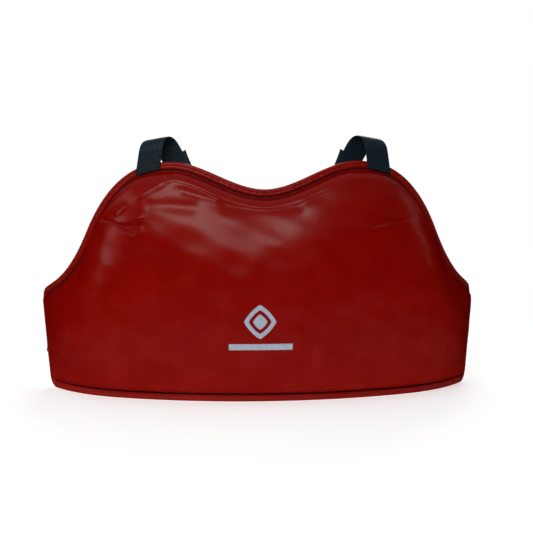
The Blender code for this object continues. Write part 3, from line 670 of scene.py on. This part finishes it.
liner_cloth = woven("black_woven_nylon", "#17181A", "#212225", 0.0012)
liner_section = [(FLANGE_INSET, 0, 0), (0.0100, 0, 0), (0.0118, 0, 0), (0.0150, 0.0008, 0),
                 (0.0190, 0.0014, 0), (0.0250, 0.0018, 0)]
liner_columns = np.linspace(0, END_S - 0.0250, 120)
liner_shares = np.linspace(0, 1, 70)
for label, side in SIDES.items():
    s, z, level = half_grid(liner_section, liner_columns, liner_shares)
    puff = np.array([depth for _, depth, _ in liner_section])[level]
    inside = level / (len(liner_section) - 1)
    drift = s + 0.004 * np.sin(math.tau * z / 0.170) + 0.0025 * np.sin(math.tau * (z + 3 * s) / 0.110)
    swell = 0.6 + 0.4 * np.sin(math.tau * (z + side * 0.05) / 0.240 + 20 * s)
    folds = 0.0011 * swell * bump(s - FLEX_S - 0.02, 0.055) * np.sin(math.tau * drift / 0.021)
    loose = 1.6 * uneven(side * s + 0.3, z) + folds
    rear = -(PLY_GAP + LINER_T) - puff - inside * (0.0012 + loose)
    rear = np.minimum(rear, -PLY_GAP - 0.0012)
    outer = bend(*finished(s, z), rear)
    liner = two_faced(f"rear_liner_{label}", outer, bend(*finished(s, z), -PLY_GAP + 0 * s),
                      [liner_cloth], side)
    follow_wing(liner, label)
    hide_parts("center_rear_liner", f"{label}_wing_rear_liner")

# %% [markdown]
# ## The printed mark
# A pale screen print sits low on the middle of the struck face.  This one is a plain sign of
# its own: a lozenge ring with a small solid lozenge in it, over a plain bar.  Ink lies on the
# cloth as a film, so each shape is a thin closed sheet laid on the panel's own surface.

# %% Screen print
INK_T, INK_LIFT = 0.00025, 0.00018
MARK_S, MARK_Z = -0.010, 0.1400
ink, tree, shader = finish("pale_screen_ink", Roughness=0.42, IOR=1.5)
ink_place = add(tree, "ShaderNodeTexCoord", {}).outputs["Object"]
ink_rub = add(tree, "ShaderNodeTexNoise", {"Vector": ink_place, "Scale": 1 / 0.006, "Detail": 6.0})
ink_colour = shades(tree, ink_rub.outputs["Fac"], ((0.25, "#97A6BE"), (0.45, "#A9B7CC"), (0.8, "#B4C1D4")))
tree.links.new(ink_colour, shader.inputs["Base Color"])


def on_panel(s, z, lift):
    """Places on the stuffed front near its middle, lifted from it; s may be negative."""
    room = top_edge(np.abs(s)) - PANEL_TOP_INSET * (steepness(np.abs(s)) + 1)
    v = (z - PANEL_TOP_INSET) / room
    depth = COVER_T + RISE_HEIGHT + CROWN_HEIGHT * crown(np.abs(s), v)
    depth = depth + puckers(s, z) + uneven(s, z) + lift
    return bend(np.abs(s), z, depth) * np.stack([np.sign(s) + (s == 0), 1 + 0 * s, 1 + 0 * s], axis=-1)


def printed(name, s, z):
    """A film of ink over a grid of pattern places."""
    film = two_faced(name, on_panel(s, z, INK_LIFT + INK_T), on_panel(s, z, INK_LIFT / 3), [ink])
    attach(film, "pad_center")
    return film


def lozenge(half_wide, half_high, count=96):
    """Places round a soft-cornered lozenge."""
    angle = np.linspace(0, math.tau, count + 1)
    across, up = np.cos(angle), np.sin(angle)
    reach = (np.abs(across) ** 1.25 + np.abs(up) ** 1.25) ** (-1 / 1.25)
    return half_wide * across * reach, half_high * up * reach


ring = [lozenge(0.0235 * share, 0.0275 * share) for share in (0.70, 0.78, 0.86, 0.94, 1.0)]
ring_s = MARK_S + np.stack([s for s, _ in ring], axis=1)
ring_z = MARK_Z + np.stack([z for _, z in ring], axis=1)
printed("printed_lozenge_ring", ring_s, ring_z)
core = [lozenge(0.0105 * share, 0.0125 * share) for share in (0.02, 0.3, 0.6, 0.8, 1.0)]
core_s = MARK_S + np.stack([s for s, _ in core], axis=1)
core_z = MARK_Z + np.stack([z for _, z in core], axis=1)
printed("printed_lozenge_core", core_s, core_z)
bar_s, bar_z = np.meshgrid(np.linspace(-0.0560, 0.0380, 64), np.linspace(0.0940, 0.1040, 6), indexing="ij")
print_bar = printed("printed_bar", bar_s, bar_z)
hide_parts("front_mark")

# %% [markdown]
# ## Webbing
# The straps are flat polypropylene webbing, 38 mm wide: a herringbone with fine ribs along
# its length and a rounded selvedge at each side.  The ribs are in the mesh, because they
# catch the light along the fold.  The yarns, 0.8 mm apart, are drawn as a bump from a map of
# length and width laid along the strap, so that they turn with every fold.

# %% Navy webbing
webbing, tree, shader = finish("navy_polypropylene_webbing", Roughness=0.62, IOR=1.49, Specular_IOR_Level=0.3)
lengths = add(tree, "ShaderNodeUVMap", {}, uv_map="along_strap").outputs["UV"]
YARN = 0.0016
picks = {"Vector": lengths, "Scale": 1 / (YARN * 20), "Distortion": 0.0}
weft = add(tree, "ShaderNodeTexWave", picks, bands_direction="X")
warp = add(tree, "ShaderNodeTexWave", picks, bands_direction="DIAGONAL")
weave = add(tree, "ShaderNodeMath", {0: weft.outputs["Fac"], 1: warp.outputs["Fac"]}, operation="ADD")
fibres = add(tree, "ShaderNodeTexNoise", {"Vector": lengths, "Scale": 1 / 0.004, "Detail": 6.0})
navy = shades(tree, fibres.outputs["Fac"], ((0.3, "#03171F"), (0.5, "#06202D"), (0.75, "#0A2A3B")))
tree.links.new(navy, shader.inputs["Base Color"])
raised = {"Height": weave.outputs["Value"], "Strength": 0.55, "Distance": 0.0003}
tree.links.new(add(tree, "ShaderNodeBump", raised).outputs["Normal"], shader.inputs["Normal"])
ACROSS = np.linspace(-1, 1, 37)
RIBS = 9


def webbing_ribbon(name, stations):
    """Webbing with ribs and selvedges through (left, right, thickness direction) stations."""
    left, right, up = (np.array([list(v) for v in part]) for part in zip(*stations))
    middle, half = (left + right) / 2, (right - left) / 2
    length = np.concatenate([[0], np.cumsum(np.linalg.norm(np.diff(middle, axis=0), axis=1))])
    rib = 0.00010 * np.cos(math.pi * RIBS * ACROSS)
    bulge = WEBBING_T / 2 * (1 - 0.75 * np.abs(ACROSS) ** 10) + rib * (1 - ACROSS**8)
    turned_over = (middle[:, None] + half[:, None] * sign * ACROSS[:, None]
                   + up[:, None] * sign * bulge[:, None] for sign in (1, -1))
    stations = np.concatenate(list(turned_over), axis=1)
    made = swept(name, stations, [webbing])
    around = np.concatenate([ACROSS, -ACROSS]) * WEBBING_WIDTH / 2
    at = np.stack(np.broadcast_arrays(length[:, None], around), axis=-1).reshape(-1, 2)
    corner = np.array([loop.vertex_index for loop in made.data.loops])
    along_strap = made.data.uv_layers.new(name="along_strap")
    along_strap.data.foreach_set("uv", at[corner].astype(np.float32).ravel())
    return made, length[-1]


# %% [markdown]
# ## A shoulder strap
# Each strap is sewn flat on the front of the binding, goes up, folds back over the top of
# the pad and runs down behind to the buckle's bar, where it turns and comes back up as a
# short tail.  It leans, so the fold is oblique: the flat strap is laid out in length and
# width, and the part past the fold line is wrapped round a small radius.

# %% The strap's own directions
STRAP_LEAN, FOLD_TILT = math.radians(9), math.radians(11)
FOLD_HEIGHT, FOLD_RADIUS = 0.021, 0.016
STRAP_LENGTH, TURN_GAP, BAR_HALF = 0.165, 0.0004, 0.0018
TAIL_SHORTER, TAIL_DRIFT, TAIL_DRIFT_FROM, TAIL_MERGE = 0.012, 0.005, 0.058, 0.022
GAP = 0.0003
LAYER_PITCH = WEBBING_T + GAP
TURN_RADIUS = BAR_HALF * math.sqrt(2) + TURN_GAP + WEBBING_T / 2
STRAP_DEPTH = BINDING_FRONT + GAP + WEBBING_T / 2


class StrapPath:
    """Directions and places along one shoulder strap."""

    def __init__(self, side):
        turn = STRAP_S / FRONT_RADIUS
        point = bend(STRAP_S, float(top_edge(np.array(STRAP_S))), 0)
        self.out = Vector((side * math.sin(turn), -math.cos(turn), 0))
        self.inward = Vector((-side * math.cos(turn), -math.sin(turn), 0))
        self.base = Vector((side * point[0], point[1], point[2]))
        self.ruling = self.tilted(FOLD_TILT)
        self.over = self.tilted(FOLD_TILT + math.pi / 2)
        self.skew = STRAP_LEAN + FOLD_TILT
        step = STATION * np.array([-1, 1])
        rise = np.diff(top_edge(STRAP_S + step))[0] / (2 * STATION)
        self.edge_slope = -rise
        self.leg_start = self.flat_length(FOLD_HEIGHT + math.pi * FOLD_RADIUS, WEBBING_WIDTH / 2)
        self.down = self.ruling * math.sin(self.skew) - self.over * math.cos(self.skew)
        self.wide = self.down.cross(self.out) * side

    def tilted(self, angle):
        return self.inward * math.cos(angle) + Vector((0, 0, math.sin(angle)))

    def flat_length(self, climb, across):
        return (climb + across * math.sin(self.skew)) / math.cos(self.skew)

    def fold(self, length, across):
        """Place and thickness direction of a flat strap point, once folded over."""
        along = length * math.sin(self.skew) + across * math.cos(self.skew)
        climb = length * math.cos(self.skew) - across * math.sin(self.skew)
        turned = (climb - FOLD_HEIGHT) / FOLD_RADIUS
        level, back, up = climb, 0, self.out
        if turned > math.pi:
            level = FOLD_HEIGHT - (climb - FOLD_HEIGHT - math.pi * FOLD_RADIUS)
            back, up = 2 * FOLD_RADIUS, -self.out
        elif turned > 0:
            level = FOLD_HEIGHT + FOLD_RADIUS * math.sin(turned)
            back = FOLD_RADIUS * (1 - math.cos(turned))
            up = self.out * math.cos(turned) + self.over * math.sin(turned)
        place = self.base + self.ruling * along + self.over * level
        return place + self.out * (STRAP_DEPTH - back), up

    def line(self, length_of):
        ends = [self.fold(length_of(w), w) for w in (-WEBBING_WIDTH / 2, WEBBING_WIDTH / 2)]
        return ends[0][0], ends[1][0], ends[0][1]

    def seam_line(self, lift):
        """A station parallel to the pad's top edge, lifted from it."""
        lean = math.tan(STRAP_LEAN)

        def length(across):
            run, drop = across * math.cos(STRAP_LEAN), across * math.sin(STRAP_LEAN)
            rise = (lift + self.edge_slope * run + drop) / (1 - self.edge_slope * lean)
            return rise / math.cos(STRAP_LEAN)

        return self.line(length)

    def leg(self, distance, back=0.0, drift=0.0):
        """The middle of the strap so far down its rear leg."""
        place, _ = self.fold(self.leg_start + distance, 0)
        return place - self.out * back + self.wide * drift


# %% Lay the strap: sewn end, fold, rear leg, turn round the bar and tail


def strap_stations(path):
    sewn = -BINDING_WIDTH * math.hypot(1, path.edge_slope) - GAP
    stations = [path.seam_line(lift) for lift in np.linspace(sewn, 0.004, 8)]
    for turn in np.linspace(0, math.pi, 44):
        climb = FOLD_HEIGHT + FOLD_RADIUS * turn
        stations.append(path.line(lambda across: path.flat_length(climb, across)))
    half = path.wide * (WEBBING_WIDTH / 2)
    bar = path.leg(STRAP_LENGTH, TURN_RADIUS)
    for distance in np.linspace(0.002, STRAP_LENGTH, 40):
        middle = path.leg(distance)
        stations.append((middle - half, middle + half, -path.out))
    for turn in np.linspace(0, math.pi, 16)[1:]:
        middle = bar + TURN_RADIUS * (path.down * math.sin(turn) + path.out * math.cos(turn))
        up = -path.out * math.cos(turn) - path.down * math.sin(turn)
        stations.append((middle - half, middle + half, up))
    for distance in np.linspace(STRAP_LENGTH - TAIL_MERGE / 8, STRAP_LENGTH - TAIL_MERGE, 8):
        ease = smooth((STRAP_LENGTH - distance) / TAIL_MERGE)
        middle = path.leg(distance, 2 * TURN_RADIUS + (LAYER_PITCH - 2 * TURN_RADIUS) * ease)
        stations.append((middle - half, middle + half, path.out))
    for distance in np.linspace(TAIL_DRIFT_FROM, TAIL_SHORTER, 14):
        share = (TAIL_DRIFT_FROM - distance) / (TAIL_DRIFT_FROM - TAIL_SHORTER)
        middle = path.leg(distance, LAYER_PITCH, TAIL_DRIFT * share * share)
        stations.append((middle - half, middle + half, path.out))
    return stations


navy_thread = thread("navy_nylon_thread", "#0E1A24")
for label, side in SIDES.items():
    path = StrapPath(side)
    strap, strap_length = webbing_ribbon(f"shoulder_webbing_{label}", strap_stations(path))
    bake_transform(strap)
    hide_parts(f"{label}_strap_root", f"{label}_shoulder_strap")
    starts, ends = [], []
    for lift in (-0.0095, -0.0035):
        low, high, _ = path.seam_line(lift)
        for k in np.linspace(0.06, 0.86, 9):
            starts.append(low.lerp(high, k) + path.out * WEBBING_T / 2)
            ends.append(low.lerp(high, k + 0.075) + path.out * WEBBING_T / 2)
    ups = np.array([list(path.out)] * len(starts))
    rows = stitches(f"strap_seam_{label}", np.array(starts), np.array(ends), ups, navy_thread)
    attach(rows, "pad_center")
    print(strap.name, f"is {strap_length:.3f} m of webbing")

# %% [markdown]
# ## The side tabs
# Behind each wing a loop of the same webbing is sewn flat near the side edge with a crossed
# box of stitches, and holds the socket of the buckle.

# %% Side tabs and their box stitching
TAB_SEWN, TAB_REACH, TAB_TURN_RADIUS, TAB_HEIGHT = 0.036, 0.020, 0.030, 0.075
# The two layers part only in the last steps before the bar, which leaves the socket room to swing.
REACH_STEPS, PARTING_FROM, PARTING_OVER = 8, 4.6, 2.4


def tab_line():
    """Middle line of the right tab in plan, with its headings, from the pad to the bar."""
    edge = float(finished(np.array(END_S), np.array(TAB_HEIGHT))[0])
    depth = -BINDING_BACK - GAP - LAYER_PITCH / 2 - WEBBING_T / 2
    line = []
    for s in np.linspace(edge - TAB_SEWN, edge, 12).tolist():
        turn = float(np.interp(s, line_s, line_turn))
        place = bend(s, 0.0, depth)
        line.append((Vector((place[0], place[1], 0)), Vector((math.cos(turn), math.sin(turn), 0))))
    heading = math.atan2(line[-1][1].y, line[-1][1].x)
    turns = np.linspace(heading, math.pi / 2, 9).tolist()
    for before, after in zip(turns, turns[1:]):
        middle = (before + after) / 2
        step = TAB_TURN_RADIUS * abs(after - before)
        point = line[-1][0] + step * Vector((math.cos(middle), math.sin(middle), 0))
        line.append((point, Vector((math.cos(after), math.sin(after), 0))))
    for _ in range(REACH_STEPS):
        line.append((line[-1][0] + Vector((0, TAB_REACH / REACH_STEPS, 0)), Vector((0, 1, 0))))
    return line


def mirror(vector, side):
    return Vector((side * vector.x, vector.y, vector.z))


for label, side in SIDES.items():
    line = [(mirror(p, side), mirror(d, side)) for p, d in tab_line()]
    layers = ([], [])
    for k, (point, heading) in enumerate(line):
        steps_out = k - (len(line) - 1 - REACH_STEPS)
        ease = float(smooth((steps_out - PARTING_FROM) / PARTING_OVER))
        apart = LAYER_PITCH / 2 + (TURN_RADIUS - LAYER_PITCH / 2) * ease
        across = heading.cross(Vector((0, 0, 1)))
        layers[0].append((point + across * apart, across))
        layers[1].append((point - across * apart, -across))
    bar, heading = line[-1]
    across = heading.cross(Vector((0, 0, 1)))
    turn = [across * math.cos(a) + heading * math.sin(a) for a in np.linspace(0, math.pi, 14).tolist()[1:-1]]
    turned = [(bar + TURN_RADIUS * direction, direction) for direction in turn]
    low, high = (Vector((0, 0, TAB_HEIGHT + sign * WEBBING_WIDTH / 2)) for sign in (-1, 1))
    stations = [(p + low, p + high, out) for p, out in layers[0] + turned + layers[1][::-1]]
    tab, tab_length = webbing_ribbon(f"side_tab_webbing_{label}", stations)
    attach(tab, f"{label}_wing")
    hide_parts(f"{label}_side_tab")
    first, last = 1, 11
    corners = [(k, z) for k, z in ((first, -0.015), (last, -0.015), (last, 0.015), (first, 0.015))]
    box = corners + [corners[0], corners[2], corners[3], corners[1]]
    starts, ends, ups = [], [], []
    rear = layers[1] if side > 0 else layers[0]
    for (k0, z0), (k1, z1) in zip(box, box[1:]):
        for t in np.arange(0.02, 0.95, 0.16 if k0 != k1 else 0.19).tolist():
            pair = []
            for share in (t, t + 0.11):
                k = k0 + (k1 - k0) * share
                here, there = rear[int(k)][0], rear[min(int(k) + 1, last)][0]
                point = here.lerp(there, k - int(k)) + rear[int(k)][1] * WEBBING_T / 2
                pair.append(point + Vector((0, 0, TAB_HEIGHT + z0 + (z1 - z0) * share)))
            starts.append(pair[0])
            ends.append(pair[1])
            ups.append(rear[int(k)][1])
    box_x = stitches(f"tab_box_stitch_{label}", np.array(starts), np.array(ends), np.array(ups), navy_thread)
    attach(box_x, f"{label}_wing")

# %% [markdown]
# ## Buckles and keepers
# The buckles are injection-moulded acetal.  A spark-eroded mould leaves a fine, even matt
# texture, and wear polishes it a little brighter in patches spread at random.  The frame's own solids
# have the right shape already, so they stay and only get this finish.

# %% Moulded acetal on the frame's own buckles
acetal, tree, shader = finish("black_moulded_acetal", IOR=1.48)
shader.inputs["Base Color"].default_value = paint("#141517")
spot = add(tree, "ShaderNodeTexCoord", {}).outputs["Object"]
spark = add(tree, "ShaderNodeTexNoise", {"Vector": spot, "Scale": 1 / 0.0009, "Detail": 3.0})
rubbed = add(tree, "ShaderNodeTexNoise", {"Vector": spot, "Scale": 1 / 0.008, "Detail": 2.0})
worn = {"Value": rubbed.outputs["Fac"], "From Min": 0.35, "From Max": 0.65, "To Min": 0.34, "To Max": 0.48}
tree.links.new(add(tree, "ShaderNodeMapRange", worn).outputs["Result"], shader.inputs["Roughness"])
matt = {"Height": spark.outputs["Fac"], "Strength": 0.25, "Distance": 0.0002}
tree.links.new(add(tree, "ShaderNodeBump", matt).outputs["Normal"], shader.inputs["Normal"])
for name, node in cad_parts.items():
    if not node.hide_render:
        node.data.materials.clear()
        node.data.materials.append(acetal)
        print(name, "keeps the frame's shape")

# %% [markdown]
# ## The room
# A pale floor that fades out, and an even white surround.  The shiny front shows whatever it
# faces, so the light is made for its reflections: one wide soft panel, above the viewer and a
# little to the left, is the pale patch on the upper front, and the dim surround below it
# keeps the lower front a deep red.  The paper glows a little, because the dim surround alone
# would leave it grey, and it is kept out of reflections so that the vinyl stays dark below.

# %% Floor
floor_mat = bpy.data.materials.new("pale_studio_paper")
floor_mat.use_nodes = True
tree = floor_mat.node_tree
paper = tree.nodes["Principled BSDF"]
paper.inputs["Base Color"].default_value = paint("#EAF0F4")
paper.inputs["Emission Color"].default_value = paint("#FFFFFF")
paper.inputs["Emission Strength"].default_value = 0.50
paper.inputs["Roughness"].default_value = 0.9
FLOOR_REACH = 1.05
spot = add(tree, "ShaderNodeTexCoord", {}).outputs["Object"]
scaled = add(tree, "ShaderNodeVectorMath", {0: spot, 1: (1 / FLOOR_REACH,) * 3}, operation="MULTIPLY")
place = {"Vector": scaled.outputs["Vector"]}
ball = add(tree, "ShaderNodeTexGradient", place, gradient_type="QUADRATIC_SPHERE")
fade = {"Value": ball.outputs["Fac"], "From Min": 0.0, "From Max": 0.22}
tree.links.new(add(tree, "ShaderNodeMapRange", fade).outputs["Result"], paper.inputs["Alpha"])
turns = np.linspace(0, math.tau, 97)[:-1]
rim = [(FLOOR_REACH * math.cos(a), FLOOR_REACH * math.sin(a), -0.0015) for a in turns]
floor_mesh = bpy.data.meshes.new("studio_floor")
floor_mesh.from_pydata(rim, [], [list(range(len(rim)))])
floor_mesh.materials.append(floor_mat)
floor = bpy.data.objects.new("studio_floor", floor_mesh)
bpy.context.scene.collection.objects.link(floor)
floor.visible_glossy = False

# %% Surround: white to look at, dim near the horizon and brighter overhead as a light
world = bpy.data.worlds.new("soft_studio")
bpy.context.scene.world = world
world.use_nodes = True
tree = world.node_tree
tree.nodes.clear()
way = add(tree, "ShaderNodeTexCoord", {}).outputs["Generated"]
height = add(tree, "ShaderNodeSeparateXYZ", {"Vector": way}).outputs["Z"]
glow = {"Value": height, "From Min": 0.10, "From Max": 0.95, "To Min": 0.0, "To Max": 0.45}
dome = add(tree, "ShaderNodeMapRange", glow, interpolation_type="SMOOTHSTEP")
as_light = add(tree, "ShaderNodeBackground", {"Color": paint("#FFFFFF"), "Strength": dome.outputs["Result"]})
as_seen = add(tree, "ShaderNodeBackground", {"Color": paint("#FFFFFF"), "Strength": 1.0})
seen = add(tree, "ShaderNodeLightPath", {}).outputs["Is Camera Ray"]
both = add(tree, "ShaderNodeMixShader", {0: seen, 1: as_light.outputs[0], 2: as_seen.outputs[0]})
add(tree, "ShaderNodeOutputWorld", {"Surface": both.outputs[0]})

# %% Soft panels of light
LIGHTS = (
    ("front_soft_panel", (-0.75, -2.45, 1.55), (2.0, 0.7), 37.0),
    ("left_soft_panel", (-2.3, -0.9, 0.85), (0.5, 1.0), 6.0),
    ("right_soft_panel", (2.3, -0.2, 0.9), (0.4, 1.0), 1.5),
    ("rear_soft_panel", (0.4, 2.4, 1.7), (1.6, 1.0), 30.0),
)
WARM_WHITE = "#FFF4EC"
aim = Vector((0, 0, 0.20))
for name, place, size, watts in LIGHTS:
    light = bpy.data.lights.new(name, "AREA")
    light.shape = "RECTANGLE"
    light.size, light.size_y = size
    light.energy = watts
    light.color = paint(WARM_WHITE)[:3]
    lamp = bpy.data.objects.new(name, light)
    lamp.location = place
    lamp.rotation_euler = (aim - Vector(place)).to_track_quat("-Z", "Y").to_euler()
    lamp.visible_camera = False
    bpy.context.scene.collection.objects.link(lamp)

# %% [markdown]
# ## The camera
# The view is from just above the pad's middle, through a long lens, so that the humps and
# the sides keep their true proportions.

# %% Camera
ELEVATION, YAW, DISTANCE = math.radians(8.43), math.radians(3.78), 3.267
TARGET = Vector((0.0027, 0, 0.2206))
ahead = math.cos(ELEVATION)
look = Vector((math.sin(YAW) * ahead, math.cos(YAW) * ahead, -math.sin(ELEVATION)))
lens = bpy.data.cameras.new("view")
lens.lens = 137.7
lens.sensor_width = 36
camera = bpy.data.objects.new("view", lens)
camera.location = TARGET - look * DISTANCE
camera.rotation_euler = look.to_track_quat("-Z", "Y").to_euler()
bpy.context.scene.collection.objects.link(camera)
bpy.context.scene.camera = camera
bpy.context.scene.view_settings.view_transform = "Standard"
